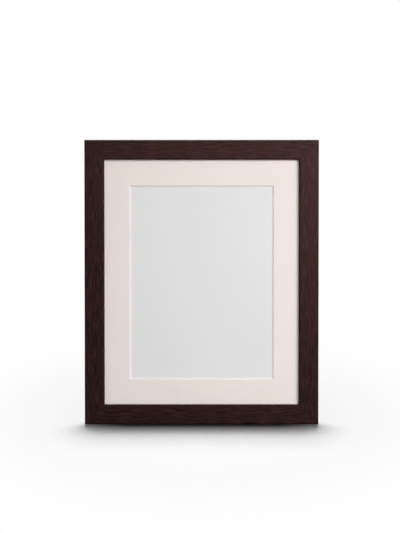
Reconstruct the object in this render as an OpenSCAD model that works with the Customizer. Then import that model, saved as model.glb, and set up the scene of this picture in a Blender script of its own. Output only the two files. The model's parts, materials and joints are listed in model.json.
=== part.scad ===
// Wooden picture frame for a 10 x 8 inch mat with a smaller print, standing on its easel strut.
// Mitred and rebated moulding, glass, bevelled mat, insert card, backing board held by turn buttons,
// a folding strut on a knuckled hinge with a stop, and a ring to hang the frame by.
// Units are millimetres. +Z is up, the picture faces -Y, and z = 0 is the table.

/* [Print and glass] */
// Width of the glass, the mat, the insert card and the backing board
glass_w = 203.2; // [170:0.1:280]
// Height of the glass, the mat, the insert card and the backing board
glass_h = 254; // [220:0.1:360]
// Thickness of the glass
glass_t = 2; // [1.5:0.1:4]
// Width of the mat's window, measured where the mat lies on the print
window_w = 142; // [90:0.1:150]
// Height of the mat's window, measured where the mat lies on the print
window_h = 192.4; // [130:0.1:200]
// Thickness of the mat board
mat_t = 2; // [1:0.1:3]
// Thickness of the insert card behind the window
card_t = 0.5; // [0.3:0.1:1]
// Thickness of the backing board
board_t = 3; // [2.5:0.1:5]

/* [Moulding] */
// Width of the moulding's face
rail_w = 20; // [18:0.5:32]
// Thickness of the lip in front of the glass
lip_t = 4; // [3.5:0.1:8]
// How far the lip covers the edge of the glass
lip_cover = 4; // [3:0.5:6]
// Clearance round the glass in the rebate, on each side
pack_gap = 0.5; // [0.2:0.1:1]
// Radius of the arris along the outside of the face
arris_r = 1.5; // [0.5:0.1:3]
// Radius of the arris along the sight edge
sight_r = 1.6; // [0.5:0.1:3]

/* [Corner nails] */
// Length of each leg of a V-nail
nail_leg = 5; // [3:0.5:6]
// Thickness of a V-nail's steel
nail_t = 0.5; // [0.3:0.1:0.8]
// How deep a V-nail is driven from the back
nail_depth = 7; // [4:0.5:8]

/* [Turn buttons] */
// How far a turn button reaches over the board
button_reach = 6; // [4:0.5:9]
// Radius of a turn button round its screw
button_hub_r = 4.5; // [4:0.1:6]
// Radius of a turn button's tip
button_tip_r = 3; // [2:0.1:3.5]
// Thickness of a turn button
button_t = 1.2; // [0.8:0.1:1.6]
// Distance of the buttons from the middle of the top and bottom rails
button_x = 52; // [45:1:70]
// Distance of the buttons from the middle of the side rails
button_z = 72; // [50:1:90]
// Radius of the buttons' screws
screw_r = 1.4; // [1:0.1:1.8]
// Length of the buttons' screws in the wood
screw_len = 8; // [6:0.5:8.5]
// Radius of the screws' heads
screw_head_r = 3; // [2.6:0.1:3.6]
// Height of the screws' domed heads
screw_head_t = 1.5; // [1.2:0.1:2]

/* [Stance] */
// How far the frame leans back, in degrees
lean = 14; // [10:0.5:18]
// How far the strut opens from the back before its stop holds it, in degrees
strut_open = 24; // [22:0.5:32]

/* [Strut] */
// Distance of the strut's hinge below the top of the frame
hinge_drop = 104; // [95:1:130]
// Width of the strut at its hinge
strut_top_w = 38; // [34:1:46]
// Width of the strut at its foot
strut_foot_w = 54; // [46:1:64]
// Thickness of the strut
strut_t = 2.5; // [2:0.1:3]
// Radius of the strut's top corners
strut_corner_r = 5; // [2:0.5:8]

/* [Strut hinge] */
// Width of the hinge
hinge_w = 32; // [26:0.5:34]
// Outer radius of the knuckles
knuckle_r = 1.9; // [1.8:0.05:2.2]
// Radius of the hinge pin
pin_r = 0.9; // [0.7:0.05:1]
// Thickness of the leaves
leaf_t = 0.8; // [0.6:0.1:1]
// Height of each leaf from the hinge's axis
leaf_h = 20; // [18:0.5:24]
// Radius of the leaves' corners
leaf_corner_r = 4; // [1:0.5:6]
// Height of the stop lugs above the hinge's axis
lug_h = 6; // [5:0.5:8]
// Radius of the rivets' shanks
rivet_r = 1.5; // [1:0.1:1.8]
// Radius of the rivets' domed heads
rivet_head_r = 2.6; // [2.4:0.1:3]
// Height of the rivets' domed heads
rivet_head_t = 0.9; // [0.6:0.1:1.2]

/* [Hanging ring] */
// Distance of the ring's bar below the top of the frame
ring_drop = 33; // [30:0.5:38]
// Radius of the ring's wire
wire_r = 1; // [0.8:0.05:1.2]
// Radius of the ring's round end, to the middle of the wire
ring_r = 9; // [8:0.1:11]
// Length of the ring's straight sides
ring_side = 8; // [6:0.5:9]
// Width of the strap that holds the ring
strap_w = 11; // [9:0.5:12]
// Length of the strap below the ring's bar
strap_len = 11; // [10:0.5:12]
// Thickness of the strap
strap_t = 0.8; // [0.6:0.1:1]

/* [Hidden] */
// Smoothness of round surfaces
$fn = 48;
// Clearance of a pin, a wire or a screw in the hole that it turns in
running_gap = 0.05;
// Clearance between metal faces that slide past each other
slide_gap = 0.3;
// Clearance of the board's back below the moulding's, so that the turn buttons pass over it
board_sink = 0.3;
// Clearance of a turn button above the moulding and below its screw's head
button_gap = 0.1;
// Clearance of the stop lugs from the board leaf when the strut is open
stop_gap = 0.1;
// Overrun of every cut
cut = 1;

outer_w = glass_w - 2 * lip_cover + 2 * rail_w;
outer_h = glass_h - 2 * lip_cover + 2 * rail_w;
rebate_w = lip_cover + pack_gap;
back_w = rail_w - rebate_w;

// Depths, from the face of the moulding at 0 to its back
mat_y = lip_t + glass_t;
card_y = mat_y + mat_t;
board_y = card_y + card_t;
board_back = board_y + board_t;
rail_d = board_back + board_sink;

// The middle of the sheets, which rest on the bottom of the rebate
sheet_mid = back_w + glass_h / 2;

// The strut's faces, measured back from the hinge's axis
strut_rear = knuckle_r - leaf_t;
strut_front = strut_rear - strut_t;

// The hinge's axis, far enough back for its knuckles to clear the board and the folded strut the
// moulding, and the bar of the ring, both in the upright frame
hinge_y = max(board_back + running_gap + knuckle_r, rail_d + slide_gap - strut_front);
hinge_z = outer_h - hinge_drop;
curl_r = wire_r + running_gap + strap_t;
ring_y = board_back + curl_r;
ring_z = outer_h - ring_drop;

// The strut's angle to the plumb line, and the height and depth of its hinge, when the frame stands
strut_lean = strut_open - lean;
hinge_up = hinge_z * cos(lean) - (hinge_y - rail_d) * sin(lean);
hinge_back = hinge_z * sin(lean) + (hinge_y - rail_d) * cos(lean);

// The strut's ends, measured up from the hinge's axis: clear of the knuckles, and cut by the table
strut_top = -knuckle_r - slide_gap;
function floor_at(back) = -(hinge_up + back * sin(strut_lean)) / cos(strut_lean);

// Where the standing frame begins and ends along Y, so that its middle lies at 0
foot_rear = hinge_back + strut_rear * cos(strut_lean) - floor_at(strut_rear) * sin(strut_lean);
back_end = max(foot_rear, outer_h * sin(lean));
front_end = (arris_r - rail_d) * cos(lean) + arris_r * sin(lean) - arris_r;
middle_y = (front_end + back_end) / 2;

// The rivets' places on a leaf: sideways as a share of its half width, and away from the axis, where
// the near ones' heads clear the stop lugs and the far ones' lie as far from the end as it is thick
rivet_x_share = 0.6;
rivet_reaches = [lug_h + slide_gap + rivet_head_r, leaf_h - leaf_t - rivet_head_r];
rivet_flange_r = rivet_r + 0.6 * (rivet_head_r - rivet_r);
rivet_flange_t = rivet_head_t / 2;

// The V-nails' places along the mitre, as shares of the back of the moulding
nail_shares = [0.18, 0.52];

knuckles = 5;
knuckle_w = hinge_w / knuckles;
tip_len = back_w / 2 + button_reach;
strap_rivet_share = 0.58;

// Turn buttons: name, sideways place, upward place, and the way the tip points from the screw
edge_x = outer_w / 2 - back_w / 2;
edge_z = back_w / 2;
mid_z = outer_h / 2;
BUTTONS = [
    ["turn_button_top_left", -button_x, outer_h - edge_z, 180],
    ["turn_button_top_right", button_x, outer_h - edge_z, 180],
    ["turn_button_bottom_left", -button_x, edge_z, 0],
    ["turn_button_bottom_right", button_x, edge_z, 0],
    ["turn_button_left_upper", -edge_x, mid_z + button_z, 90],
    ["turn_button_left_lower", -edge_x, mid_z - button_z, 90],
    ["turn_button_right_upper", edge_x, mid_z + button_z, -90],
    ["turn_button_right_lower", edge_x, mid_z - button_z, -90]
];

// Corners: name, and whether the bottom left corner is mirrored to the right and to the top
CORNERS = [
    ["corner_nails_bottom_left", [0, 0]],
    ["corner_nails_bottom_right", [1, 0]],
    ["corner_nails_top_left", [0, 1]],
    ["corner_nails_top_right", [1, 1]]
];

// Leans the upright frame back on its rear bottom edge and centres it over the origin.
module stand() {
    translate([0, -middle_y, 0]) rotate([-lean, 0, 0]) translate([0, -rail_d, 0]) children();
}

// Places what is drawn round the hinge's axis, turned open by an angle.
module at_hinge(open) {
    translate([0, hinge_y, hinge_z]) rotate([open, 0, 0]) children();
}

// Extrudes a drawing of depth against height along X, centred.
module along_x(length) {
    rotate([90, 0, 90]) translate([0, 0, -length / 2]) linear_extrude(length) children();
}

// Extrudes a drawing of width against height back along Y, from a depth.
module back_from(depth, thickness) {
    translate([0, depth + thickness, 0]) rotate([90, 0, 0]) linear_extrude(thickness) children();
}

// A square corner with its point rounded away: what a rounding takes off an arris.
module arris_waste(r) {
    difference() {
        translate([-cut, -cut]) square(r + cut);
        translate([r, r]) circle(r);
    }
}

// The moulding's section: depth from the face against distance from the outer edge.
module rail_section() {
    difference() {
        square([rail_d, rail_w]);
        translate([lip_t, back_w]) square([rail_d - lip_t + cut, rebate_w + cut]);
        arris_waste(arris_r);
        translate([0, rail_w]) mirror([0, 1]) arris_waste(sight_r);
    }
}

// A length of moulding along the bottom, mitred at both ends.
module mitred_length(length) {
    half = length / 2;
    intersection() {
        along_x(length) rail_section();
        back_from(-cut, rail_d + 2 * cut) polygon([
            [-half, 0], [half, 0],
            [half - rail_w, rail_w], [-half + rail_w, rail_w]
        ]);
    }
}

module v_nail() {
    back_from(rail_d - nail_depth, nail_depth) polygon([
        [0, 0], [nail_leg, 0], [nail_leg, nail_t],
        [nail_t, nail_t], [nail_t, nail_leg], [0, nail_leg]
    ]);
}

module at_corner(flip) {
    translate([0, 0, flip[1] * outer_h]) mirror([0, 0, flip[1]]) mirror([flip[0], 0, 0])
        for (share = nail_shares)
            translate([share * back_w - outer_w / 2, 0, share * back_w]) children();
}

module corner_nails(corner) {
    color("#8f8d88") stand() at_corner(corner[1]) v_nail();
}

module at_buttons() {
    for (b = BUTTONS) translate([b[1], rail_d, b[2]]) rotate([-90, 0, 0]) children();
}

module wood_less_metal() {
    color("#3a2622") stand() difference() {
        children();
        for (c = CORNERS) at_corner(c[1]) v_nail();
        at_buttons() translate([0, 0, -screw_len]) cylinder(r = screw_r, h = screw_len + cut);
    }
}

module bottom_rail() {
    wood_less_metal() mitred_length(outer_w);
}

module top_rail() {
    wood_less_metal() translate([0, 0, outer_h]) mirror([0, 0, 1]) mitred_length(outer_w);
}

module left_rail() {
    wood_less_metal() translate([-outer_w / 2, 0, outer_h / 2]) rotate([0, 90, 0])
        mitred_length(outer_h);
}

module right_rail() {
    wood_less_metal() translate([outer_w / 2, 0, outer_h / 2]) rotate([0, -90, 0])
        mitred_length(outer_h);
}

// A sheet of the glass's size, resting on the bottom of the rebate.
module sheet(depth, thickness) {
    translate([-glass_w / 2, depth, back_w]) cube([glass_w, thickness, glass_h]);
}

module glass() {
    color("#dfe8e6", 0.3) stand() sheet(lip_t, glass_t);
}

// The window's cut: four sides bevelled at 45 degrees, wider at the face.
module window_cut() {
    face_w = window_w + 2 * (mat_t + cut);
    face_h = window_h + 2 * (mat_t + cut);
    translate([0, 0, sheet_mid]) intersection() {
        along_x(face_w) polygon([
            [mat_y - cut, face_h / 2], [card_y, window_h / 2], [card_y + cut, window_h / 2],
            [card_y + cut, -window_h / 2], [card_y, -window_h / 2], [mat_y - cut, -face_h / 2]
        ]);
        translate([0, 0, -face_h / 2]) linear_extrude(face_h) polygon([
            [face_w / 2, mat_y - cut], [window_w / 2, card_y], [window_w / 2, card_y + cut],
            [-window_w / 2, card_y + cut], [-window_w / 2, card_y], [-face_w / 2, mat_y - cut]
        ]);
    }
}

module mat() {
    color("#f0e4df") stand() difference() {
        sheet(mat_y, mat_t);
        window_cut();
    }
}

module insert_card() {
    color("#dedede") stand() sheet(card_y, card_t);
}

// A rivet along +Z: domed head outside at 0 and above, shank, and a rolled flange at its inner end.
module rivet(grip) {
    head_arc_r = (rivet_head_r * rivet_head_r + rivet_head_t * rivet_head_t) / (2 * rivet_head_t);
    translate([0, 0, -grip]) cylinder(r = rivet_flange_r, h = rivet_flange_t);
    translate([0, 0, -grip]) cylinder(r = rivet_r, h = grip);
    rotate_extrude() intersection() {
        translate([0, rivet_head_t - head_arc_r]) circle(head_arc_r);
        square([rivet_head_r, rivet_head_t]);
    }
}

// What a rivet takes out of the pieces that it joins.
module rivet_hole(grip) {
    translate([0, 0, -grip]) cylinder(r = rivet_r, h = grip + cut);
    translate([0, 0, -grip - cut]) cylinder(r = rivet_flange_r, h = rivet_flange_t + cut);
}

// The four rivets of a leaf, in the hinge's own axes, on the side of the leaf that way points.
module at_leaf_rivets(way, face) {
    for (side = [-1, 1], reach = rivet_reaches)
        translate([side * rivet_x_share * hinge_w / 2, face, way * reach])
            rotate([-90, 0, 0]) children();
}

module at_strap_rivet() {
    translate([0, board_back + strap_t, ring_z - strap_rivet_share * strap_len])
        rotate([-90, 0, 0]) children();
}

board_grip = board_t + leaf_t;
strut_grip = strut_t + leaf_t;
board_leaf_face = board_back + leaf_t - hinge_y;

module backing_board() {
    color("#7a5a3c") stand() difference() {
        sheet(board_y, board_t);
        at_hinge(0) at_leaf_rivets(1, board_leaf_face) rivet_hole(board_grip);
        at_strap_rivet() rivet_hole(board_t + strap_t);
    }
}

// Outline of a leaf that rises from the axis, square at the axis and round at its far corners.
module leaf_outline() {
    half = hinge_w / 2;
    difference() {
        translate([-half, 0]) square([hinge_w, leaf_h]);
        for (side = [0, 1]) mirror([side, 0]) translate([half, leaf_h]) rotate(180)
            arris_waste(leaf_corner_r);
    }
}

// The knuckles of one leaf: the even ones belong to the board leaf, the odd ones to the strut's.
module at_knuckles(first) {
    for (i = [first : 2 : knuckles - 1])
        translate([(i + 0.5) * knuckle_w - hinge_w / 2, 0, 0]) children();
}

module knuckle_tube(bore_r) {
    along_x(knuckle_w - slide_gap) difference() {
        circle(knuckle_r);
        circle(bore_r);
    }
}

// The room that the other leaf's knuckles turn in.
module knuckle_room() {
    along_x(knuckle_w + slide_gap) circle(knuckle_r + slide_gap);
}

module board_leaf() {
    color("#b8b6ae") stand() at_hinge(0) {
        difference() {
            back_from(board_leaf_face - leaf_t, leaf_t) leaf_outline();
            at_leaf_rivets(1, board_leaf_face) rivet_hole(board_grip);
            at_knuckles(1) knuckle_room();
            along_x(hinge_w + cut) circle(pin_r);
        }
        at_knuckles(0) knuckle_tube(pin_r);
    }
}

module strut_leaf() {
    color("#b8b6ae") stand() at_hinge(strut_open) {
        difference() {
            mirror([0, 0, 1]) back_from(strut_rear, leaf_t) leaf_outline();
            at_leaf_rivets(-1, knuckle_r) rivet_hole(strut_grip);
            at_knuckles(0) knuckle_room();
            along_x(hinge_w + cut) circle(pin_r + running_gap);
        }
        at_knuckles(1) {
            knuckle_tube(pin_r + running_gap);
            stop_lug();
        }
    }
}

// A tongue that swings against the board leaf when the strut is open, and stops it there.
module stop_lug() {
    near = board_leaf_face + stop_gap;
    rotate([-strut_open, 0, 0]) difference() {
        along_x(knuckle_w - slide_gap) translate([near, 0]) square([leaf_t, lug_h]);
        along_x(knuckle_w) circle(pin_r + running_gap);
    }
}

module hinge_pin() {
    head_t = knuckle_r - pin_r;
    color("#9c9a94") stand() at_hinge(0) {
        along_x(hinge_w) circle(pin_r);
        for (side = [-1, 1]) translate([side * (hinge_w + head_t) / 2, 0, 0])
            along_x(head_t) circle((knuckle_r + pin_r) / 2);
    }
}

// The strut's outline below the axis: narrow at the hinge, wide at the foot.
module strut_outline() {
    foot = min(floor_at(strut_front), floor_at(strut_rear));
    corner_x = strut_top_w / 2 - strut_corner_r;
    hull() {
        for (side = [-1, 1]) translate([side * corner_x, strut_top - strut_corner_r])
            circle(strut_corner_r);
        translate([-strut_foot_w / 2, foot]) square([strut_foot_w, strut_t]);
    }
}

module strut_leg() {
    color("#7a5a3c") stand() at_hinge(strut_open) difference() {
        intersection() {
            back_from(strut_front, strut_t) strut_outline();
            along_x(strut_foot_w + cut) polygon([
                [strut_front, strut_top], [strut_rear, strut_top],
                [strut_rear, floor_at(strut_rear)], [strut_front, floor_at(strut_front)]
            ]);
        }
        at_leaf_rivets(-1, knuckle_r) rivet_hole(strut_grip);
    }
}

module board_rivets() {
    color("#c9c6bd") stand() at_hinge(0) at_leaf_rivets(1, board_leaf_face) rivet(board_grip);
}

module strut_rivets() {
    color("#c9c6bd") stand() at_hinge(strut_open) at_leaf_rivets(-1, knuckle_r) rivet(strut_grip);
}

// A turn button along +Z: the plate between two round ends, tangent to both.
module turn_button(place) {
    reach = tip_len - button_tip_r;
    tangent = acos((button_hub_r - button_tip_r) / reach);
    color("#c2a35a") stand() translate([place[1], rail_d + button_gap, place[2]])
        rotate([0, place[3], 0]) difference() {
            back_from(0, button_t) union() {
                circle(button_hub_r);
                translate([0, reach]) circle(button_tip_r);
                polygon([
                    for (side = [-1, 1]) button_hub_r * [side * sin(tangent), cos(tangent)],
                    for (side = [1, -1])
                        [0, reach] + button_tip_r * [side * sin(tangent), cos(tangent)]
                ]);
            }
            rotate([-90, 0, 0]) translate([0, 0, -cut])
                cylinder(r = screw_r + running_gap, h = button_t + 2 * cut);
        }
}

// A round-headed screw with a cross recess, sitting just above its button.
module button_screws() {
    head_arc_r = (screw_head_r * screw_head_r + screw_head_t * screw_head_t) / (2 * screw_head_t);
    seat = 2 * button_gap + button_t;
    slot_w = screw_r / 2;
    color("#b8b6ae") stand() at_buttons() {
        translate([0, 0, -screw_len]) cylinder(r = screw_r, h = screw_len + seat);
        translate([0, 0, seat]) difference() {
            rotate_extrude() intersection() {
                translate([0, screw_head_t - head_arc_r]) circle(head_arc_r);
                square([screw_head_r, screw_head_t]);
            }
            for (turn = [0, 90]) rotate(turn)
                translate([-screw_r, -slot_w / 2, screw_head_t / 2])
                    cube([2 * screw_r, slot_w, screw_head_t]);
        }
    }
}

// The strap: a tongue on the board that curls round the ring's bar.
module hanger_strap() {
    end_r = strap_w / 2;
    color("#b8b6ae") stand() {
        difference() {
            translate([0, 0, ring_z]) back_from(board_back, strap_t) union() {
                translate([-end_r, end_r - strap_len]) square([strap_w, strap_len - end_r]);
                translate([0, end_r - strap_len]) circle(end_r);
            }
            at_strap_rivet() rivet_hole(board_t + strap_t);
        }
        translate([0, ring_y, ring_z]) along_x(strap_w) difference() {
            circle(curl_r);
            circle(wire_r + running_gap);
        }
    }
}

module hanger_rivet() {
    color("#c9c6bd") stand() at_strap_rivet() rivet(board_t + strap_t);
}

// The ring hangs plumb from its bar: straight sides and a round end, in round wire.
module hanger_ring() {
    color("#b8b6ae") stand() translate([0, ring_y, ring_z]) rotate([lean, 0, 0]) {
        along_x(2 * ring_r) circle(wire_r);
        for (side = [-1, 1]) translate([side * ring_r, 0, 0]) {
            sphere(wire_r);
            translate([0, 0, -ring_side]) cylinder(r = wire_r, h = ring_side);
        }
        translate([0, 0, -ring_side]) rotate([90, 0, 0]) rotate([0, 0, 180])
            rotate_extrude(angle = 180) translate([ring_r, 0]) circle(wire_r);
    }
}

top_rail();
bottom_rail();
left_rail();
right_rail();
for (c = CORNERS) corner_nails(c);
glass();
mat();
insert_card();
backing_board();
strut_leg();
board_leaf();
strut_leaf();
hinge_pin();
board_rivets();
strut_rivets();
for (b = BUTTONS) turn_button(b);
button_screws();
hanger_strap();
hanger_rivet();
hanger_ring();
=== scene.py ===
# %% [markdown]
# # A wooden picture frame, standing on its easel strut
# The CAD part is loaded first and never moved. Its joints do all the turning, and the hinge of its
# strut says where the drawing stands. The visible pieces are then modelled round it, each where its
# CAD solid is, and ride on its bodies.

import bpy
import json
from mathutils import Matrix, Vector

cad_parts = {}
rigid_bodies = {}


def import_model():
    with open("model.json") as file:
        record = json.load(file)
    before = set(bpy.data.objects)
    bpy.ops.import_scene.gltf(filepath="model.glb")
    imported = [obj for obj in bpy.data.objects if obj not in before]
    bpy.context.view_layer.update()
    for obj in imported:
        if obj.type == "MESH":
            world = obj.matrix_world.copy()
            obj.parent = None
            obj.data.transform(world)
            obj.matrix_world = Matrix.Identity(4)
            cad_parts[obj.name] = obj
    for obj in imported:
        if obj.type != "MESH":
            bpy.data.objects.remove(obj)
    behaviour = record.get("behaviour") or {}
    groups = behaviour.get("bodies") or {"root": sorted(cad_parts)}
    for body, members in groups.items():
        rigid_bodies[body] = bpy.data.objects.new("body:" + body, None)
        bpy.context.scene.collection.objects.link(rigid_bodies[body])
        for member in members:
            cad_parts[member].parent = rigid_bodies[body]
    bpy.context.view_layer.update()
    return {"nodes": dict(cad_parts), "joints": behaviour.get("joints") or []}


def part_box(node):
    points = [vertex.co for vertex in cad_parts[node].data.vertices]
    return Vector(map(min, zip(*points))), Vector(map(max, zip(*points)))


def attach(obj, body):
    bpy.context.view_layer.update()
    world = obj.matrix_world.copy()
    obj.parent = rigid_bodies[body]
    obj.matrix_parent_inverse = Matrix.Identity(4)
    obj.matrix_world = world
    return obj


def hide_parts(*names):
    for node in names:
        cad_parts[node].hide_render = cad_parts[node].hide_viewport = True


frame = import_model()

# %% [markdown]
# ## Sizes
# A frame maker works with the frame upright and in millimetres, so every piece here is drawn that
# way: x to the right, y back from the face of the moulding, z up from its bottom edge. One matrix
# then leans the finished piece back on the table and turns millimetres to metres.

# %% The maker's sizes, in millimetres
import json
import math

import bpy
from mathutils import Matrix, Vector

OUTER_W, OUTER_H = 235.2, 286.0
RAIL_W, RAIL_D, LIP_T, BACK_W = 20.0, 11.8, 4.0, 15.5
ARRIS_R, SIGHT_R = 1.5, 1.6
GLASS_W, GLASS_H, WINDOW_W, WINDOW_H = 203.2, 254.0, 142.0, 192.4
MAT_Y, CARD_Y, BOARD_T, BOARD_BACK = 6.0, 8.0, 3.0, 11.5
AIR = 0.1
LEAN, OPEN = math.radians(14), math.radians(24)
print("outside", OUTER_W, "by", OUTER_H, "mm, for sheets of", GLASS_W, "by", GLASS_H, "mm")

# %% The matrix that stands an upright drawing on the table
hinge_joint = next(j for j in frame["joints"] if j["name"] == "strut_hinge")
HINGE_Y, HINGE_Z = 13.5, OUTER_H - 104.0
leaning = Matrix.Rotation(-LEAN, 4, "X") @ Matrix.Translation((0, -RAIL_D, 0))
to_metres = Matrix.Scale(0.001, 4)
hinge_place = to_metres @ leaning @ Vector((0, HINGE_Y, HINGE_Z))
stand = Matrix.Translation(Vector(hinge_joint["pos_m"]) - hinge_place) @ to_metres @ leaning
print("height of the hinge's axis:", round((stand @ Vector((0, HINGE_Y, HINGE_Z))).z, 4), "m")

# %% [markdown]
# ## How a piece is started, picked at and finished
# An operator works on whatever is selected, so each step clears the selection first and then picks
# faces or edges by where they lie. A finished piece is leaned back into the frame, its place is
# applied to its mesh, and its normals are weighted by face so that wide flat faces stay flat beside
# their rounded edges.

# %% Starting from a block
def block(name, low, high):
    """A box between two corners, as an object of its own."""
    bpy.ops.object.select_all(action="DESELECT")
    middle = (Vector(low) + Vector(high)) / 2
    bpy.ops.mesh.primitive_cube_add(size=1, location=middle)
    piece = bpy.context.object
    piece.name = piece.data.name = name
    piece.scale = Vector(high) - Vector(low)
    bpy.ops.object.transform_apply()
    return piece


# %% Picking faces and edges by their place
def pick(piece, what, where):
    """Opens edit mode with faces, by centre and normal, or edges, by their ends, selected."""
    mesh = piece.data
    for part in (*mesh.vertices, *mesh.edges, *mesh.polygons):
        part.select = False
    if what == "FACE":
        for face in mesh.polygons:
            face.select = bool(where(face.center, face.normal))
    else:
        for edge in mesh.edges:
            edge.select = bool(where(*(mesh.vertices[i].co for i in edge.vertices)))
    bpy.context.tool_settings.mesh_select_mode = (False, what == "EDGE", what == "FACE")
    bpy.ops.object.mode_set(mode="EDIT")


def done():
    bpy.ops.object.mode_set(mode="OBJECT")


def near(value, wanted, slack=0.01):
    return abs(value - wanted) < slack


# %% Cutting, rounding and finishing
def saw(piece, point, normal, fill=True):
    """Cuts a piece by a plane. What lies ahead of the plane falls off if the cut is filled."""
    pick(piece, "FACE", lambda centre, way: True)
    bpy.ops.mesh.bisect(plane_co=point, plane_no=normal, use_fill=fill, clear_outer=fill)
    done()


def round_over(piece, radius, segments, where, along=0):
    """Rounds the edges that run along x (0), y (1) or z (2) and lie where the test says."""
    pick(
        piece,
        "EDGE",
        lambda a, b: where(a) and where(b) and abs((b - a).normalized()[along]) > 0.99,
    )
    bpy.ops.mesh.bevel(offset=radius, offset_type="OFFSET", segments=segments, affect="EDGES")
    done()


def ease(piece, width, segments=2, angle=40):
    """Takes the sharpness off every edge, as handling, tumbling or sanding does."""
    bevel = piece.modifiers.new("eased edges", "BEVEL")
    bevel.width, bevel.segments = width, segments
    bevel.limit_method, bevel.angle_limit = "ANGLE", math.radians(angle)
    bpy.ops.object.modifier_apply(modifier=bevel.name)


def finish(piece, place, body, slot, material, *nodes):
    """Puts a drawn piece in its place, in metres, gives it its materials and hangs it on its body;
    the slot it is given is not used.
    """
    bpy.ops.object.select_all(action="DESELECT")
    piece.select_set(True)
    bpy.context.view_layer.objects.active = piece
    piece.matrix_world = place
    bpy.ops.object.transform_apply()
    bpy.ops.object.shade_smooth_by_angle(angle=math.radians(35))
    weighted = piece.modifiers.new("flat faces stay flat", "WEIGHTED_NORMAL")
    weighted.keep_sharp = True
    bpy.ops.object.modifier_apply(modifier=weighted.name)
    piece.data.materials.clear()
    for each in material if isinstance(material, list) else [material]:
        piece.data.materials.append(each)
    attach(piece, body)
    if nodes:
        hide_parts(*nodes)
        boxes = [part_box(n) for n in nodes]
        low = [min(b[0][i] for b in boxes) for i in range(3)]
        high = [max(b[1][i] for b in boxes) for i in range(3)]
        mine = [v.co for v in piece.data.vertices]
        off = max(
            max(abs(min(v[i] for v in mine) - low[i]), abs(max(v[i] for v in mine) - high[i]))
            for i in range(3)
        )
        print(f"{piece.name}: {len(piece.data.polygons)} faces, box within {off * 1000:.2f} mm")
    return piece


# %% Round work, copies and joins
def turned(name, profile, vertices=32):
    """Builds a round piece upwards from a disc, ring by ring, from pairs of radius and height."""
    bpy.ops.object.select_all(action="DESELECT")
    (last, low), rest = profile[0], profile[1:]
    bpy.ops.mesh.primitive_circle_add(
        vertices=vertices, radius=last, fill_type="NGON", location=(0, 0, low)
    )
    piece = bpy.context.object
    piece.name = piece.data.name = name
    bpy.ops.object.transform_apply()
    pick(piece, "FACE", lambda centre, way: True)
    for radius, height in rest:
        bpy.ops.mesh.extrude_region_move(TRANSFORM_OT_translate={"value": (0, 0, height - low)})
        wider = radius / last
        bpy.ops.transform.resize(value=(wider, wider, 1), center_override=(0, 0, height))
        last, low = radius, height
    bpy.ops.mesh.select_all(action="SELECT")
    bpy.ops.mesh.normals_make_consistent(inside=False)
    done()
    return piece


def domed(radius, height, rings):
    """The profile of a dome that is part of a ball: pairs of radius and height."""
    ball = (radius**2 + height**2) / (2 * height)
    half = math.asin(radius / ball)
    turns = [half * (1 - (i / (rings + 0.5))) for i in range(rings + 1)]
    return [(ball * math.sin(t), ball * math.cos(t) - ball + height) for t in turns]


def copied(piece, name, place):
    """A copy with its own mesh, put in its place in the drawing."""
    made = piece.copy()
    made.data = piece.data.copy()
    made.name = made.data.name = name
    bpy.context.collection.objects.link(made)
    made.data.transform(place)
    return made


def joined(name, pieces):
    """Makes one piece of several that are never apart."""
    bpy.ops.object.select_all(action="DESELECT")
    for piece in pieces:
        piece.select_set(True)
    bpy.context.view_layer.objects.active = pieces[0]
    bpy.ops.object.join()
    pieces[0].name = pieces[0].data.name = name
    return pieces[0]


def drill(piece, cutter, keep=False):
    """Takes one piece's shape out of another."""
    bpy.ops.object.select_all(action="DESELECT")
    bpy.context.view_layer.objects.active = piece
    hole = piece.modifiers.new("drilled", "BOOLEAN")
    hole.object, hole.operation, hole.solver = cutter, "DIFFERENCE", "EXACT"
    bpy.ops.object.modifier_apply(modifier=hole.name)
    if not keep:
        bpy.data.objects.remove(cutter)
    return piece


# %% [markdown]
# ## Colours and nodes
# Colours are written as they look on a screen and turned to linear light by one function. Three
# small helpers start a material, add a node with its settings and links, and feed the shader.

# %% Helpers for materials
def screen(code):
    """A linear colour with full alpha from an sRGB hex value."""
    parts = [int(code[i : i + 2], 16) / 255 for i in (1, 3, 5)]
    return (*[c / 12.92 if c <= 0.04045 else ((c + 0.055) / 1.055) ** 2.4 for c in parts], 1.0)


def add(material, kind, inputs=None, **settings):
    """Adds a node. An input is given a value, or linked if it is given another node's output."""
    made = material.node_tree.nodes.new(kind)
    for name, value in settings.items():
        setattr(made, name, value)
    for name, value in (inputs or {}).items():
        if isinstance(value, bpy.types.NodeSocket):
            material.node_tree.links.new(value, made.inputs[name])
        else:
            made.inputs[name].default_value = value
    return made


def new_material(name, **shader):
    """A material with its shader's plain inputs set."""
    made = bpy.data.materials.new(name)
    made.use_nodes = True
    for key, value in shader.items():
        made.node_tree.nodes["Principled BSDF"].inputs[key.replace("_", " ")].default_value = value
    return made


def feed(material, name, source):
    """Links an output to an input of the material's shader."""
    shader = material.node_tree.nodes["Principled BSDF"]
    material.node_tree.links.new(source, shader.inputs[name])


# %% [markdown]
# ## The stained moulding
# The moulding is a plain hardwood strip with a dark brown stain and a thin satin lacquer. Three
# things show: dark pores and paler fibres about a centimetre long, slow bands of a redder brown,
# and a soft sheen that is a little duller in the pores. Each pattern is a noise stretched along the
# grain, in millimetres of the upright drawing, so the grain follows each length and turns at the
# mitres. The pores of such wood are 0.2 mm wide, too fine to show, and are drawn 0.8 mm wide. The
# sheen's tint is judged from the photo, where the rails stay brown even where they are lightest.

# %% Coordinates along the grain
def grain_place(material, quarter_turn):
    """The place on the object in upright millimetres, with x along the grain."""
    where = add(material, "ShaderNodeTexCoord").outputs["Object"]
    turn = (LEAN, math.radians(90) if quarter_turn else 0.0, 0.0)
    laid = add(
        material,
        "ShaderNodeMapping",
        {"Vector": where, "Scale": (1000.0, 1000.0, 1000.0), "Rotation": turn},
    )
    return laid.outputs["Vector"]


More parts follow.
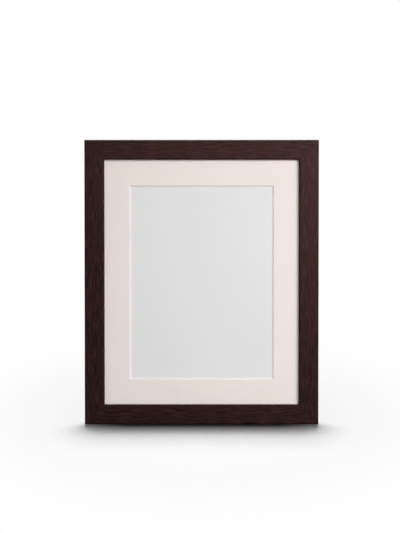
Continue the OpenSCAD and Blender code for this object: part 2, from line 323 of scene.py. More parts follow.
def stretched_noise(material, place, length, width, shift=0.0, **noise):
    """Noise whose blots are so long along x and so wide across, in millimetres."""
    scaled = add(
        material,
        "ShaderNodeMapping",
        {
            "Vector": place,
            "Location": (shift, shift, shift),
            "Scale": (1 / length, 1 / width, 1 / width),
        },
    )
    settings = {"Vector": scaled.outputs["Vector"], "Scale": 1.0, **noise}
    return add(material, "ShaderNodeTexNoise", settings).outputs["Fac"]


def between(material, value, low, high, to_low=0.0, to_high=1.0):
    """Spreads the part of a value from low to high over a new range."""
    bounds = {"From Min": low, "From Max": high, "To Min": to_low, "To Max": to_high}
    return add(material, "ShaderNodeMapRange", {"Value": value, **bounds}).outputs["Result"]


# %% The stained wood
SHEEN = (1.0, 0.53, 0.51, 1.0)


def stained_wood(name, quarter_turn):
    """Dark stained hardwood, satin lacquered: brown with fine dark pores and redder bands."""
    wood = new_material(name, Specular_IOR_Level=0.165, Specular_Tint=SHEEN)
    place = grain_place(wood, quarter_turn)
    streaks = stretched_noise(wood, place, 14.0, 0.9, Detail=3.0, Roughness=0.55)
    pores = stretched_noise(wood, place, 12.0, 0.8, shift=7.0, Detail=2.0, Roughness=0.5)
    slow = stretched_noise(wood, place, 60.0, 7.0, shift=23.0, Detail=2.0)
    brown = add(
        wood,
        "ShaderNodeMix",
        {0: between(wood, streaks, 0.43, 0.6), 6: screen("#010000"), 7: screen("#2e1917")},
        data_type="RGBA",
    ).outputs[2]
    red = add(
        wood,
        "ShaderNodeMix",
        {0: between(wood, slow, 0.42, 0.72, 0.0, 0.4), 6: brown, 7: screen("#20100e")},
        data_type="RGBA",
    ).outputs[2]
    dark = between(wood, pores, 0.55, 0.68, 0.0, 0.8)
    stained = add(
        wood, "ShaderNodeMix", {0: dark, 6: red, 7: screen("#030101")}, data_type="RGBA"
    ).outputs[2]
    feed(wood, "Base Color", stained)
    feed(wood, "Roughness", between(wood, pores, 0.45, 0.7, 0.4, 0.5))
    sunk = between(wood, pores, 0.5, 0.7, 1.0, 0.0)
    bump = add(wood, "ShaderNodeBump", {"Height": sunk, "Strength": 0.28, "Distance": 0.0002})
    feed(wood, "Normal", bump.outputs["Normal"])
    return wood


level_wood = stained_wood("stained hardwood, grain level", False)
upright_wood = stained_wood("stained hardwood, grain upright", True)
print("wood:", level_wood.name, "and", upright_wood.name)

# %% [markdown]
# ## The four lengths of moulding
# A moulding is milled in long lengths: a flat face with a rounded arris on each side, and a rebate
# behind that holds the glass and the boards. Each length is then sawn off at 45 degrees at both
# ends. The block is made as thick as the lip, the strip behind it is drawn back by an extrusion,
# which leaves the rebate, and a plane then saws off each end. A hair's breadth is taken off the
# sawn rims, and that gives the fine line which shows where two lengths meet.

# %% One mitred length
REAR_R, REBATE_R, MITRE_LINE = 0.5, 0.3, 0.12


def moulding(name, length, turn, place, material, node):
    piece = block(name, (-length / 2, 0, 0), (length / 2, LIP_T, RAIL_W))
    saw(piece, (0, 0, BACK_W), (0, 0, 1), fill=False)
    pick(piece, "FACE", lambda centre, way: way.y > 0.9 and centre.z < BACK_W)
    bpy.ops.mesh.extrude_region_move(
        TRANSFORM_OT_translate={"value": (0, RAIL_D - LIP_T, 0)}
    )
    done()
    round_over(piece, ARRIS_R, 6, lambda p: near(p.y, 0) and near(p.z, 0))
    round_over(piece, SIGHT_R, 6, lambda p: near(p.y, 0) and near(p.z, RAIL_W))
    round_over(piece, REAR_R, 2, lambda p: near(p.y, RAIL_D) and near(p.z, 0))
    round_over(piece, REBATE_R, 1, lambda p: near(p.y, RAIL_D) and near(p.z, BACK_W))
    for side in (-1, 1):
        saw(piece, (side * length / 2, 0, 0), (side, 0, 1))
    pick(piece, "FACE", lambda centre, way: abs(way.x) > 0.6)
    bpy.ops.mesh.region_to_loop()
    bpy.ops.mesh.bevel(offset=MITRE_LINE, offset_type="OFFSET", segments=1, affect="EDGES")
    done()
    drawn = Matrix.Translation(place) @ Matrix.Rotation(math.radians(turn), 4, "Y")
    return finish(piece, stand @ drawn, "frame", "stained_moulding", material, node)


# %% All four
moulding("moulding_bottom", OUTER_W, 0, (0, 0, 0), level_wood, "bottom_rail")
moulding("moulding_top", OUTER_W, 180, (0, 0, OUTER_H), level_wood, "top_rail")
moulding("moulding_left", OUTER_H, 90, (-OUTER_W / 2, 0, OUTER_H / 2), upright_wood, "left_rail")
moulding("moulding_right", OUTER_H, -90, (OUTER_W / 2, 0, OUTER_H / 2), upright_wood, "right_rail")

# %% [markdown]
# ## The mat
# Mat board is a thick sheet of matt paper with a tooth that can just be felt, round a white core.
# The cutter's blade is held at 45 degrees, so the core shows as a narrow bevel round the window.
# The sheet's front and back are each inset to the window's size there, their middles are taken out,
# and the two openings are bridged, which makes the bevel. A tenth of a millimetre of air is left
# between it and the glass, because two faces in one plane can't both be seen.

# %% Paper and core
def paper(name, colour, tooth, blot, rough=0.9):
    """Uncoated paper: matt, with a fine tooth and faint clouds where its pulp is uneven."""
    sheet = new_material(name, Roughness=rough, Specular_IOR_Level=0.2)
    place = grain_place(sheet, False)
    clouds = stretched_noise(sheet, place, 14.0, 14.0, Detail=3.0)
    shade = between(sheet, clouds, 0.3, 0.7, 1.0 - blot, 1.0)
    tinted = add(
        sheet,
        "ShaderNodeMix",
        {0: 1.0, 6: screen(colour), 7: shade},
        data_type="RGBA",
        blend_type="MULTIPLY",
    ).outputs[2]
    feed(sheet, "Base Color", tinted)
    fibres = stretched_noise(sheet, place, 0.5, 0.35, shift=3.0, Detail=3.0)
    bump = add(sheet, "ShaderNodeBump", {"Height": fibres, "Strength": tooth, "Distance": 0.0001})
    feed(sheet, "Normal", bump.outputs["Normal"])
    return sheet


mat_paper = paper("mat board, warm off-white paper", "#f0e6e2", 0.25, 0.012)
mat_core = paper("mat board, cut white core", "#ece8e6", 0.4, 0.02)
card_paper = paper("light grey card", "#e6e6e6", 0.12, 0.008)
print("papers:", ", ".join(each.name for each in (mat_paper, mat_core, card_paper)))

# %% The cut sheet
mat = block(
    "mat_with_window",
    (-GLASS_W / 2, MAT_Y + AIR, BACK_W),
    (GLASS_W / 2, CARD_Y, BACK_W + GLASS_H),
)
sheet_middle = (0, 0, BACK_W + GLASS_H / 2)
for way_out, spread in ((-1, CARD_Y - MAT_Y - AIR), (1, 0.0)):
    border = (GLASS_W - WINDOW_W) / 2 - spread
    taller = (WINDOW_H + 2 * spread) / (GLASS_H - 2 * border)
    pick(mat, "FACE", lambda centre, way, side=way_out: way.y * side > 0.9)
    bpy.ops.mesh.inset(thickness=border)
    bpy.ops.transform.resize(value=(1, 1, taller), center_override=sheet_middle)
    bpy.ops.mesh.delete(type="ONLY_FACE")
    done()
pick(mat, "EDGE", lambda a, b: False)
bpy.ops.mesh.select_non_manifold()
bpy.ops.mesh.bridge_edge_loops()
bpy.ops.mesh.select_all(action="SELECT")
bpy.ops.mesh.normals_make_consistent(inside=False)
done()
finish(mat, stand, "frame", "mat_board", [mat_paper, mat_core], "mat")
for face in mat.data.polygons:
    face.material_index = 0 if abs(face.normal.dot(stand.col[1].xyz.normalized())) > 0.9 else 1

# %% [markdown]
# ## Glass and card
# The glass is 2 mm float glass: nearly all of the light goes through, and about a twenty-fifth is
# mirrored by each face. Its shader is a clear one with a little mirror, which lets the lamps reach
# the mat. The mirror grows with the fifth power of how far a face is turned away. A Fresnel node
# would make the pane's far face a full mirror beyond 41 degrees, because a clear shader doesn't
# bend the ray. The card behind the window is a plain light grey sheet. Both keep their CAD shapes,
# because a sheet cut square is already right.

# %% Float glass
MIRRORED_HEAD_ON = 0.043


def float_glass(name):
    made = bpy.data.materials.new(name)
    made.use_nodes = True
    made.node_tree.nodes.clear()
    clear = add(made, "ShaderNodeBsdfTransparent", {"Color": screen("#ffffff")})
    shine = {"Color": screen("#ffffff"), "Roughness": 0.03}
    mirror = add(made, "ShaderNodeBsdfGlossy", shine)
    facing = add(made, "ShaderNodeLayerWeight", {"Blend": 0.5}).outputs["Facing"]
    steep = add(made, "ShaderNodeMath", {0: facing, 1: 5.0}, operation="POWER").outputs[0]
    share = between(made, steep, 0.0, 1.0, MIRRORED_HEAD_ON, 1.0)
    both = {0: share, 1: clear.outputs[0], 2: mirror.outputs[0]}
    pane = add(made, "ShaderNodeMixShader", both)
    add(made, "ShaderNodeOutputMaterial", {"Surface": pane.outputs[0]})
    return made


def coat(material, *nodes):
    """Gives CAD nodes a material."""
    for name in nodes:
        for held in frame["nodes"][name].material_slots:
            held.material = material
    print(material.name, "on", len(nodes), "CAD nodes")


coat(float_glass("clear float glass"), "glass")
coat(card_paper, "insert_card")

# %% [markdown]
# ## Hardboard
# The board and the strut are hardboard, pressed from brown wood fibres: a warm brown with darker
# and paler fibres in all directions and a faint polish from the press.

# %% Pressed fibres
def hardboard(name):
    """Hot-pressed fibreboard: mottled brown, smooth and slightly polished."""
    made = new_material(name, Roughness=0.62, Specular_IOR_Level=0.35)
    place = grain_place(made, False)
    fibres = stretched_noise(made, place, 1.1, 1.0, Detail=6.0, Roughness=0.75)
    flecks = stretched_noise(made, place, 0.8, 0.7, shift=5.0, Detail=3.0, Roughness=0.6)
    brown = add(
        made,
        "ShaderNodeMix",
        {0: between(made, fibres, 0.32, 0.68), 6: screen("#5d4029"), 7: screen("#84603f")},
        data_type="RGBA",
    ).outputs[2]
    dotted = add(
        made,
        "ShaderNodeMix",
        {0: between(made, flecks, 0.62, 0.74, 0.0, 0.5), 6: brown, 7: screen("#33221a")},
        data_type="RGBA",
    ).outputs[2]
    feed(made, "Base Color", dotted)
    bump = add(made, "ShaderNodeBump", {"Height": fibres, "Strength": 0.2, "Distance": 0.0001})
    feed(made, "Normal", bump.outputs["Normal"])
    return made


fibreboard = hardboard("hardboard, hot pressed")
coat(fibreboard, "backing_board")

# %% [markdown]
# ## The strut
# The strut is stamped from the same board: narrow and round-cornered at its hinge, wide at its
# foot. It is drawn hanging straight down from the hinge's axis and then swung open by 24 degrees.
# The foot is cut by the table's plane, so that it stands on its whole edge.

# %% The strut, from its hinge to the table
STRUT_FRONT, STRUT_REAR, STRUT_TOP, TAPER_END, PAST_TABLE = -1.4, 1.1, -2.2, -176.6, 4.0
HALF_AT_HINGE, HALF_AT_FOOT, STRUT_CORNER_R = 18.8, 27.0, 5.0
hinged = stand @ Matrix.Translation((0, HINGE_Y, HINGE_Z))
opened = hinged @ Matrix.Rotation(OPEN, 4, "X")
strut = block(
    "easel_strut",
    (-HALF_AT_HINGE, STRUT_FRONT, TAPER_END),
    (HALF_AT_HINGE, STRUT_REAR, STRUT_TOP),
)
pick(strut, "FACE", lambda centre, way: way.z < -0.9)
bpy.ops.transform.resize(value=(HALF_AT_FOOT / HALF_AT_HINGE, 1, 1))
bpy.ops.mesh.extrude_region_move(TRANSFORM_OT_translate={"value": (0, 0, -PAST_TABLE)})
done()
round_over(
    strut,
    STRUT_CORNER_R,
    8,
    lambda p: near(p.z, STRUT_TOP) and near(abs(p.x), HALF_AT_HINGE),
    along=1,
)
table_below = opened.inverted() @ Vector((0, 0, 0))
down = (opened.inverted().to_3x3() @ Vector((0, 0, -1))).normalized()
saw(strut, table_below, down)
ease(strut, 0.25)
finish(strut, opened, "strut", "fibreboard", fibreboard, "strut_leg")

# %% [markdown]
# ## Metals
# The hinge, the rivets, the screws and the ring are zinc-plated steel: bluish grey with a soft,
# slightly cloudy shine. The turn buttons are brass plated. The V-nails are bare blued steel.

# %% Plated metals
def plated(name, pale, deep, low_rough, high_rough):
    """Plated sheet metal: cloudy colour and shine, as the bath leaves them."""
    metal = new_material(name, Metallic=1.0)
    place = grain_place(metal, False)
    clouds = stretched_noise(metal, place, 3.0, 3.0, Detail=4.0, Roughness=0.6)
    colour = add(
        metal,
        "ShaderNodeMix",
        {0: between(metal, clouds, 0.35, 0.65), 6: screen(deep), 7: screen(pale)},
        data_type="RGBA",
    ).outputs[2]
    feed(metal, "Base Color", colour)
    feed(metal, "Roughness", between(metal, clouds, 0.3, 0.7, low_rough, high_rough))
    return metal


zinc = plated("steel, zinc plated", "#c9cacb", "#b2b4b6", 0.24, 0.4)
brass = plated("steel, brass plated", "#d2b983", "#b0925c", 0.24, 0.4)
blued = plated("nail steel, blued", "#7d7c7c", "#5c5a59", 0.35, 0.5)
print("metals:", zinc.name, "/", brass.name, "/", blued.name)

# %% [markdown]
# ## The strut's hinge
# Each leaf is stamped from 0.8 mm sheet, and its tabs are rolled round the pin, which makes the
# knuckles. So the plate is drawn first, its edge is cut into tabs, and the tabs are extruded and
# then spun round the axis. The roll ends just short of the plate, as a real one does. The strut's
# leaf also has two lugs that meet the board's leaf when the strut is open.

# %% A leaf and its rolled knuckles
LEAF_T, LEAF_H, LEAF_HALF, LEAF_CORNER_R, SHEET_EDGE = 0.8, 20.0, 16.0, 4.0, 0.12
KNUCKLE_W, KNUCKLE_STEP, PLATE_FROM = 6.1, 6.4, 1.95
ROLL_STEPS, ROLL = 25, math.radians(300)


def leaf(name, front, up, centres):
    """A leaf in the hinge's own axes. Up is 1 for the leaf above the axis and -1 below it."""
    low, high = sorted((up * PLATE_FROM, up * LEAF_H))
    piece = block(name, (-LEAF_HALF, front, low), (LEAF_HALF, front + LEAF_T, high))
    round_over(piece, LEAF_CORNER_R, 8, lambda p: near(p.z, up * LEAF_H), along=1)
    for centre in centres:
        for side in (-1, 1):
            saw(piece, (centre + side * KNUCKLE_W / 2, 0, 0), (1, 0, 0), fill=False)
    pick(
        piece,
        "FACE",
        lambda middle, way: way.z * up < -0.9
        and any(abs(middle.x - centre) < KNUCKLE_W / 2 for centre in centres),
    )
    bpy.ops.mesh.extrude_region_move(TRANSFORM_OT_translate={"value": (0, 0, -up * PLATE_FROM)})
    bpy.ops.mesh.spin(steps=ROLL_STEPS, angle=-ROLL, center=(0, 0, 0), axis=(1, 0, 0))
    bpy.ops.mesh.select_all(action="SELECT")
    bpy.ops.mesh.normals_make_consistent(inside=False)
    done()
    return piece


RIVET_X, RIVET_REACHES, RIVET_R = 9.6, (8.9, 16.6), 1.5


def rivet_places(face, up):
    """Where the four rivets of a leaf go in the hinge's own axes, each with its axis along y."""
    turn = Matrix.Rotation(math.radians(-90), 4, "X")
    return [
        Matrix.Translation((side * RIVET_X, face, up * reach)) @ turn
        for side in (-1, 1)
        for reach in RIVET_REACHES
    ]


def drilled_leaf(piece, face, up):
    """A leaf with its four rivet holes, its edges tumbled."""
    for place in rivet_places(face, up):
        hole = turned("hole", [(RIVET_R, -2), (RIVET_R, 1)])
        hole.data.transform(place)
        drill(piece, hole)
    ease(piece, SHEET_EDGE)
    return piece


# %% The board's leaf
BOARD_FACE = BOARD_BACK + LEAF_T - HINGE_Y
outer_knuckles = (-2 * KNUCKLE_STEP, 0, 2 * KNUCKLE_STEP)
board_leaf = leaf("hinge_leaf_on_board", BOARD_FACE - LEAF_T, 1, outer_knuckles)
drilled_leaf(board_leaf, BOARD_FACE, 1)
finish(board_leaf, hinged, "frame", "plated_steel", zinc, "board_leaf")

# %% The strut's leaf with its two stop lugs
LUG_FRONT, LUG_FROM, LUG_TO, LUG_CORNER_R = -1.1, 1.35, 6.0, 1.2
strut_leaf = leaf("hinge_leaf_on_strut", STRUT_REAR, -1, (-KNUCKLE_STEP, KNUCKLE_STEP))
drilled_leaf(strut_leaf, STRUT_REAR + LEAF_T, -1)
lugs = []
for side in (-1, 1):
    middle = side * KNUCKLE_STEP
    lug = block(
        "lug",
        (middle - KNUCKLE_W / 2, LUG_FRONT, LUG_FROM),
        (middle + KNUCKLE_W / 2, LUG_FRONT + LEAF_T, LUG_TO),
    )
    round_over(lug, LUG_CORNER_R, 4, lambda p: near(p.z, LUG_TO), along=1)
    ease(lug, SHEET_EDGE)
    lug.data.transform(Matrix.Rotation(-OPEN, 4, "X"))
    lugs.append(lug)
strut_leaf = joined("hinge_leaf_on_strut", [strut_leaf, *lugs])
finish(strut_leaf, opened, "strut", "plated_steel", zinc, "strut_leaf")

# %% The pin with its two headed ends
PIN_R, PIN_HEAD_R, PIN_HEAD_T, PIN_HALF, PIN_CHAMFER = 0.9, 1.4, 1.0, 17.0, 0.25
pin_half = [
    (PIN_R, 0),
    (PIN_R, PIN_HALF - PIN_HEAD_T),
    (PIN_HEAD_R, PIN_HALF - PIN_HEAD_T),
    (PIN_HEAD_R, PIN_HALF - PIN_CHAMFER),
    (PIN_HEAD_R - PIN_CHAMFER, PIN_HALF),
]
pin = turned("hinge_pin_headed", [(r, -x) for r, x in reversed(pin_half)][:-1] + pin_half[1:])
pin.data.transform(Matrix.Rotation(math.radians(90), 4, "Y"))
finish(pin, hinged, "frame", "plated_steel", zinc, "hinge_pin")


# %% The rivets: a domed head outside, and a flange rolled out at the inner end
FLANGE_R, FLANGE_T, HEAD_R, HEAD_H, UNDERCUT = 2.16, 0.45, 2.6, 0.9, 0.1


def rivet(name, grip):
    flange = [(FLANGE_R, -grip), (FLANGE_R, FLANGE_T - grip), (RIVET_R, FLANGE_T - grip)]
    shank = [(RIVET_R, 0), (HEAD_R - UNDERCUT, 0)]
    return turned(name, flange + shank + domed(HEAD_R, HEAD_H, 6))


BOARD_GRIP, STRUT_GRIP = BOARD_T + LEAF_T, STRUT_REAR - STRUT_FRONT + LEAF_T
for name, grip, face, up, place, body, node in (
    ("rivets_on_board", BOARD_GRIP, BOARD_FACE, 1, hinged, "frame", "board_rivets"),
    ("rivets_on_strut", STRUT_GRIP, STRUT_REAR + LEAF_T, -1, opened, "strut", "strut_rivets"),
):
    first = rivet(name, grip)
    four = [copied(first, name, at) for at in rivet_places(face, up)]
    bpy.data.objects.remove(first)
    finish(joined(name, four), place, body, "plated_steel", zinc, node)

# %% [markdown]
# ## The turn buttons and their screws
# A turn button is a pear-shaped brass stamping. Its hub is a disc with a hole, and its tip a
# smaller one. The disc is turned first, the part of its rim that faces the tip is then extruded
# over and scaled down, which draws both tangents at once, and the two faces are inset and bridged
# to make the hole. It is modelled once and copied to its eight places. Each one rides on a body of
# its own.

# %% One button, drawn with its tip up
HUB_R, TIP_R, REACH, BUTTON_T, HOLE_R, BEHIND_BUTTON = 4.5, 3.0, 10.75, 1.2, 1.45, 0.1
button = turned("button", [(HUB_R, 0), (HUB_R, BUTTON_T)], 72)
button.data.transform(Matrix.Rotation(math.radians(-90), 4, "X"))
tangent = math.acos((HUB_R - TIP_R) / REACH)
pick(button, "FACE", lambda centre, way: abs(way.y) < 0.1 and math.acos(way.z) < tangent)
bpy.ops.mesh.extrude_region_move(TRANSFORM_OT_translate={"value": (0, 0, REACH)})
smaller = TIP_R / HUB_R
bpy.ops.transform.resize(value=(smaller, 1, smaller), center_override=(0, 0, REACH))
done()
for side in (-1, 1):
    pick(button, "FACE", lambda centre, way: way.y * side > 0.9 and centre.length < 1.5)
    bpy.ops.mesh.inset(thickness=HUB_R - HOLE_R)
    bpy.ops.mesh.delete(type="ONLY_FACE")
    done()
pick(button, "EDGE", lambda a, b: False)
bpy.ops.mesh.select_non_manifold()
bpy.ops.mesh.bridge_edge_loops()
bpy.ops.mesh.select_all(action="SELECT")
bpy.ops.mesh.normals_make_consistent(inside=False)
done()
ease(button, 0.22, segments=3)

# %% Its eight places
BUTTON_X, BUTTON_Z = 52.0, 72.0
EDGE_X, EDGE_Z = OUTER_W / 2 - BACK_W / 2, BACK_W / 2
BUTTONS = {
    "top_left": (-BUTTON_X, OUTER_H - EDGE_Z, 180),
    "top_right": (BUTTON_X, OUTER_H - EDGE_Z, 180),
    "bottom_left": (-BUTTON_X, EDGE_Z, 0),
    "bottom_right": (BUTTON_X, EDGE_Z, 0),
    "left_upper": (-EDGE_X, OUTER_H / 2 + BUTTON_Z, 90),
    "left_lower": (-EDGE_X, OUTER_H / 2 - BUTTON_Z, 90),
    "right_upper": (EDGE_X, OUTER_H / 2 + BUTTON_Z, -90),
    "right_lower": (EDGE_X, OUTER_H / 2 - BUTTON_Z, -90),
}
for place, (x, z, turn) in BUTTONS.items():
    place_on_rail = Matrix.Translation((x, RAIL_D + BEHIND_BUTTON, z))
    drawn = place_on_rail @ Matrix.Rotation(math.radians(turn), 4, "Y")
    body = "button_" + place
    piece = copied(button, body, Matrix.Identity(4))
    finish(piece, stand @ drawn, body, "brassed_steel", brass, "turn_button_" + place)
bpy.data.objects.remove(button)

# %% The screws, each with a cross recess
SCREW_LEN, SCREW_R, POINT_R, POINT_LEN, SEAT = 8.0, 1.4, 0.2, 2.5, 1.4
SCREW_HEAD_R, SCREW_HEAD_H, HEAD_UNDERCUT = 3.0, 1.5, 0.15
shank = [(POINT_R, -SCREW_LEN), (SCREW_R, POINT_LEN - SCREW_LEN), (SCREW_R, SEAT)]
under_head = [(SCREW_HEAD_R - HEAD_UNDERCUT, SEAT)]
head = [(r, h + SEAT) for r, h in domed(SCREW_HEAD_R, SCREW_HEAD_H, 7)]
screw = turned("screw", shank + under_head + head, 40)
CROSS_LONG, CROSS_WIDE, CROSS_FLOOR, CROSS_TAPER = 1.4, 0.35, SEAT + 0.75, 0.72
for half_x, half_y in ((CROSS_LONG, CROSS_WIDE), (CROSS_WIDE, CROSS_LONG)):
    slot = block("slot", (-half_x, -half_y, CROSS_FLOOR), (half_x, half_y, SEAT + 3))
    pick(slot, "FACE", lambda centre, way: way.z < -0.9)
    bpy.ops.transform.resize(
        value=(CROSS_TAPER, CROSS_TAPER, 1), center_override=(0, 0, CROSS_FLOOR)
    )
    done()
    drill(screw, slot)
ease(screw, 0.08, angle=50)
lying = Matrix.Rotation(math.radians(-90), 4, "X")
FIRST_TURN, NEXT_TURN = 23, 37
screws = []
for i, (x, z, turn) in enumerate(BUTTONS.values()):
    driven = Matrix.Rotation(math.radians(FIRST_TURN + NEXT_TURN * i), 4, "Z")
    screws.append(copied(screw, "screw", Matrix.Translation((x, RAIL_D, z)) @ lying @ driven))
bpy.data.objects.remove(screw)
finish(joined("screws_of_buttons", screws), stand, "frame", "plated_steel", zinc, "button_screws")

# %% [markdown]
# ## The ring to hang it by
# The strap is a strip with a round end, rolled over the ring's bar as the hinge's knuckles are. The
# ring is one piece of wire: a disc is extruded along the bar, spun round each corner, extruded down
# the sides and spun through half a turn at the end. Its ends meet in the middle of the bar, in the
# strap. It hangs plumb, so it is turned back by the frame's lean.

# %% The strap
WIRE_R, STRAP_HALF, STRAP_LEN, STRAP_END_R = 1.0, 5.5, 11.0, 5.45
RUNNING_GAP, STRAP_HOLE = 0.05, 0.58 * STRAP_LEN
RING_Y, RING_Z = BOARD_BACK + WIRE_R + RUNNING_GAP + LEAF_T, OUTER_H - 33.0
hung = stand @ Matrix.Translation((0, RING_Y, RING_Z))
strap = block(
    "hanger_strap_rolled",
    (-STRAP_HALF, BOARD_BACK - RING_Y, -STRAP_LEN),
    (STRAP_HALF, BOARD_BACK - RING_Y + LEAF_T, 0),
)
pick(strap, "FACE", lambda centre, way: way.z > 0.9)
bpy.ops.mesh.spin(steps=ROLL_STEPS, angle=ROLL, center=(0, 0, 0), axis=(1, 0, 0))
bpy.ops.mesh.select_all(action="SELECT")
bpy.ops.mesh.normals_make_consistent(inside=False)
done()
round_over(strap, STRAP_END_R, 12, lambda p: near(p.z, -STRAP_LEN), along=1)
ease(strap, SHEET_EDGE)
finish(strap, hung, "frame", "plated_steel", zinc, "hanger_strap")

# %% Its rivet
strap_rivet = rivet("rivet_of_strap", BOARD_GRIP)
in_strap = Matrix.Translation((0, BOARD_BACK + LEAF_T, RING_Z - STRAP_HOLE))
strap_rivet.data.transform(in_strap @ lying)
finish(strap_rivet, stand, "frame", "plated_steel", zinc, "hanger_rivet")

# %% The ring
RING_R, RING_SIDE, BEND, SEAM = 9.0, 8.0, 2.0, 0.03
quarter = math.radians(90)
bpy.ops.object.select_all(action="DESELECT")
bpy.ops.mesh.primitive_circle_add(
    vertices=20, radius=WIRE_R, fill_type="NGON", location=(SEAM, 0, 0), rotation=(0, quarter, 0)
)
ring = bpy.context.object
ring.name = ring.data.name = "hanger_ring_bent"
bpy.ops.object.transform_apply()
pick(ring, "FACE", lambda centre, way: True)
straights = {
    "bar": (RING_R - BEND - SEAM, 0, 0),
    "down": (0, 0, BEND - RING_SIDE),
    "up": (0, 0, RING_SIDE - BEND),
    "back": (RING_R - BEND - SEAM, 0, 0),
}
bends = {
    "bar": (8, -quarter, (RING_R - BEND, 0, -BEND)),
    "down": (36, -2 * quarter, (0, 0, -RING_SIDE)),
    "up": (8, -quarter, (BEND - RING_R, 0, -BEND)),
}
for step, move in straights.items():
    bpy.ops.mesh.extrude_region_move(TRANSFORM_OT_translate={"value": move})
    if step in bends:
        steps, angle, centre = bends[step]
        bpy.ops.mesh.spin(steps=steps, angle=angle, center=centre, axis=(0, 1, 0))
bpy.ops.mesh.select_all(action="SELECT")
bpy.ops.mesh.normals_make_consistent(inside=False)
done()
plumb = Matrix.Rotation(LEAN, 4, "X")
finish(ring, hung @ plumb, "ring", "plated_steel", zinc, "hanger_ring")

# %% [markdown]
# ## The V-nails
# Two V-nails hold each mitre from behind: strips of blued steel, folded to a right angle and driven
# in until only their edges show. One leg is drawn, its end is extruded to make the other, and the
# nail is left a little under a tenth of a millimetre proud, as an underpinning press leaves it.

# %% Two in each corner
LEG, NAIL_T, NAIL_DEPTH, PROUD, ALONG_MITRE = 5.0, 0.5, 7.0, 0.08, (0.18, 0.52)
nail = block("nail", (NAIL_T, RAIL_D - NAIL_DEPTH, 0), (LEG, RAIL_D + PROUD, NAIL_T))
pick(nail, "FACE", lambda centre, way: way.x < -0.9)
bpy.ops.mesh.extrude_region_move(TRANSFORM_OT_translate={"value": (-NAIL_T, 0, 0)})
done()
pick(nail, "FACE", lambda centre, way: way.z > 0.9 and centre.x < NAIL_T)
bpy.ops.mesh.extrude_region_move(TRANSFORM_OT_translate={"value": (0, 0, LEG - NAIL_T)})
done()
ease(nail, 0.1, segments=1)
for corner in ("bottom_left", "bottom_right", "top_left", "top_right"):
    flip_x = -1 if "right" in corner else 1
    flip_z = -1 if "top" in corner else 1
    pair = []
    for share in ALONG_MITRE:
        inwards = share * BACK_W
        height = inwards if flip_z > 0 else OUTER_H - inwards
        at = Matrix.Translation((flip_x * (inwards - OUTER_W / 2), 0, height))
        one = copied(nail, "nail", at @ Matrix.Diagonal((flip_x, 1, flip_z, 1)))
        pick(one, "FACE", lambda centre, way: True)
        bpy.ops.mesh.normals_make_consistent(inside=False)
        done()
        pair.append(one)
    piece = joined("v_nails_" + corner, pair)
    finish(piece, stand, "frame", "nail_steel", blued, "corner_nails_" + corner)
bpy.data.objects.remove(nail)

# %% [markdown]
# ## The table and the light
# The photo's light is a white studio's: a broad lamp above and a little behind the frame, with a
# glow round it, lights the table and throws a short soft shadow forwards, and two smaller lamps in
# front light the face, one over the camera and one at the right. The table is white laminate. Away
# from the frame, and up to just over the table's edge, all is plain white to the camera, to mirrors
# and through glass, which stands for the white sweep of paper that such a picture is taken on. The
# photo shows the mat lit from above, with no shade of the moulding at its bottom. So what the table
# in front would scatter up at it is mostly held back, as a black card laid there would do, while
# the camera still sees the table white.

# %% What the camera sees, straight, in a mirror or through glass
def seen_in(material):
    """1 for a camera, glossy or transmission ray, and 0 for one that carries scattered light."""
    ray = add(material, "ShaderNodeLightPath").outputs
    total = ray["Is Camera Ray"]
    for kind in ("Is Glossy Ray", "Is Transmission Ray"):
        either = {0: total, 1: ray[kind]}
        total = add(material, "ShaderNodeMath", either, operation="MAXIMUM").outputs[0]
    return total


# %% A white table that goes over to plain white
TABLE_R, PLAIN_FROM, PLAIN_TO = 9.0, 0.08, 0.3
bpy.ops.object.select_all(action="DESELECT")
bpy.ops.mesh.primitive_circle_add(vertices=96, radius=TABLE_R, fill_type="NGON")
table = bpy.context.object
table.name = "table"
white = new_material("white laminate", Roughness=0.8, Specular_IOR_Level=0.0)
spot = add(white, "ShaderNodeTexCoord").outputs["Object"]
far = add(white, "ShaderNodeVectorMath", {0: spot}, operation="LENGTH").outputs["Value"]
plain = add(
    white,
    "ShaderNodeMapRange",
    {"Value": far, "From Min": PLAIN_FROM, "From Max": PLAIN_TO},
    interpolation_type="SMOOTHSTEP",
).outputs["Result"]
seen_plain = {0: seen_in(white), 1: plain}
share = add(white, "ShaderNodeMath", seen_plain, operation="MULTIPLY").outputs[0]
glow = add(white, "ShaderNodeEmission", {"Color": screen("#ffffff"), "Strength": 1.0})
lit = white.node_tree.nodes["Principled BSDF"].outputs[0]
laid = add(white, "ShaderNodeMixShader", {0: share, 1: lit, 2: glow.outputs[0]})
surface = white.node_tree.nodes["Material Output"].inputs["Surface"]
white.node_tree.links.new(laid.outputs[0], surface)
table.data.materials.append(white)
print("table:", TABLE_R, "m in radius, plain white to the camera from", PLAIN_TO, "m outwards")

# %% In front, it scatters little light back on to the frame
HELD_UP_TO_Y, FREE_FROM_Y, HELD_BACK = -0.045, -0.03, 0.85
across = add(white, "ShaderNodeSeparateXYZ", {"Vector": spot}).outputs["Y"]
in_front = between(white, across, HELD_UP_TO_Y, FREE_FROM_Y, HELD_BACK, 0.0)
scattered = add(white, "ShaderNodeLightPath").outputs["Is Diffuse Ray"]
from_front = {0: scattered, 1: in_front}
held_back = add(white, "ShaderNodeMath", from_front, operation="MULTIPLY").outputs[0]
colour = add(
    white,
    "ShaderNodeMix",
    {0: held_back, 6: screen("#fdfdfd"), 7: screen("#000000")},
    data_type="RGBA",
).outputs[2]
feed(white, "Base Color", colour)
print("in front,", HELD_BACK, "of what the table would scatter is held back")

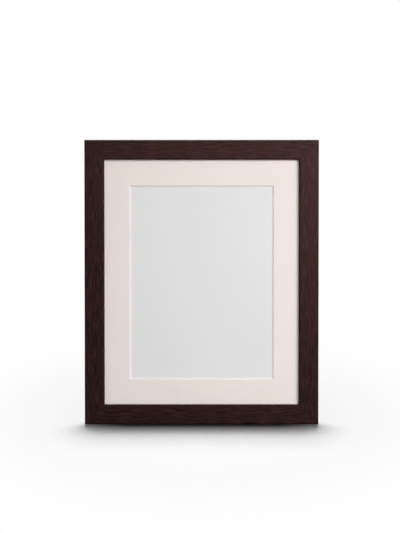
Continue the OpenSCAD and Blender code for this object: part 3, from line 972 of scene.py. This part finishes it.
# %% A dim even room, and the white sweep's top where the table ends
ROOM, SWEEP_TOP, ROOM_FROM = 0.18, math.sin(math.radians(5)), math.sin(math.radians(20))
sky = bpy.data.worlds.new("studio room")
bpy.context.scene.world = sky
sky.use_nodes = True
sky.node_tree.nodes["Background"].inputs["Color"].default_value = (1, 1, 1, 1)
way = add(sky, "ShaderNodeTexCoord").outputs["Generated"]
height = add(sky, "ShaderNodeSeparateXYZ", {"Vector": way}).outputs["Z"]
white_share = between(sky, height, SWEEP_TOP, ROOM_FROM, 1.0, 0.0)
seen_low = {0: seen_in(sky), 1: white_share}
share = add(sky, "ShaderNodeMath", seen_low, operation="MULTIPLY").outputs[0]
strength = between(sky, share, 0.0, 1.0, ROOM, 1.0)
sky.node_tree.links.new(strength, sky.node_tree.nodes["Background"].inputs["Strength"])
print("room:", ROOM, "and white up to 5 degrees above the table's edge")

# %% Lamps, each looking at a point
face_middle = stand @ Vector((0, 0, OUTER_H / 2))
foot_of_frame = Vector((0, 0, 0))


def lamp(name, azimuth, elevation, distance, wide, high, power, target=face_middle):
    """A lamp so many degrees to the right and up and metres away, so wide and high, in watts."""
    made = bpy.data.objects.new(name, bpy.data.lights.new(name, "AREA"))
    bpy.context.collection.objects.link(made)
    side, up = math.radians(azimuth), math.radians(elevation)
    way = Vector((math.sin(side) * math.cos(up), -math.cos(side) * math.cos(up), math.sin(up)))
    made.location = target + way * distance
    made.rotation_euler = way.to_track_quat("Z", "Y").to_euler()
    made.data.shape = "RECTANGLE"
    made.data.size, made.data.size_y, made.data.energy = wide, high, power
    return made


lamps_behind = [
    lamp("lamp above and behind", 180, 73.95, 5.0, 1.0, 0.456, 108.9, target=foot_of_frame),
    lamp("glow round that lamp", 180, 70.3, 5.0, 1.0, 0.91, 89.7, target=foot_of_frame),
]
for each in lamps_behind:
    each.data.shape = "ELLIPSE"
front_lamps = [
    lamp("soft box over the camera", 8, 34, 1.1, 0.6, 0.24, 4.6),
    lamp("lamp at the right", 30, 22, 0.8, 0.3, 0.3, 3.5),
]

# %% The front lamps are flagged off the table, and the glass doesn't mirror them
lit_by_front = bpy.data.collections.new("lit by the front lamps")
for piece in bpy.data.objects:
    if piece.type == "MESH" and piece not in (table, frame["nodes"]["glass"]):
        lit_by_front.objects.link(piece)
for each in front_lamps:
    each.light_linking.receiver_collection = lit_by_front

# %% [markdown]
# ## The camera
# The photo's outline narrows by half a percent from top to bottom, which puts the lens 1.6 degrees
# above the face's normal at 1.5 m. The frame's middle lies 1.6 pixels right of the picture's middle
# and 16 below it, and a pixel is 1.0037 mm there.

# %% A long lens at a metre and a half
PIXEL, AWAY, PICTURE_H, SENSOR = 0.0010037, 1.5, 533, 36
RIGHT_OF_MIDDLE, BELOW_MIDDLE = 1.6 * PIXEL, 16 * PIXEL
pitch = LEAN + math.radians(1.6)
ahead = Vector((0, math.cos(pitch), -math.sin(pitch)))
above = Vector((0, math.sin(pitch), math.cos(pitch)))
aim = face_middle + above * BELOW_MIDDLE - Vector((RIGHT_OF_MIDDLE, 0, 0))
camera = bpy.data.objects.new("camera", bpy.data.cameras.new("camera"))
bpy.context.collection.objects.link(camera)
camera.location = aim - ahead * AWAY
camera.rotation_euler = (-ahead).to_track_quat("Z", "Y").to_euler()
camera.data.lens = SENSOR * AWAY / (PICTURE_H * PIXEL)
bpy.context.scene.camera = camera
bpy.context.scene.view_settings.view_transform = "Standard"
print("lens", round(camera.data.lens, 1), "mm, camera at", [round(v, 3) for v in camera.location])
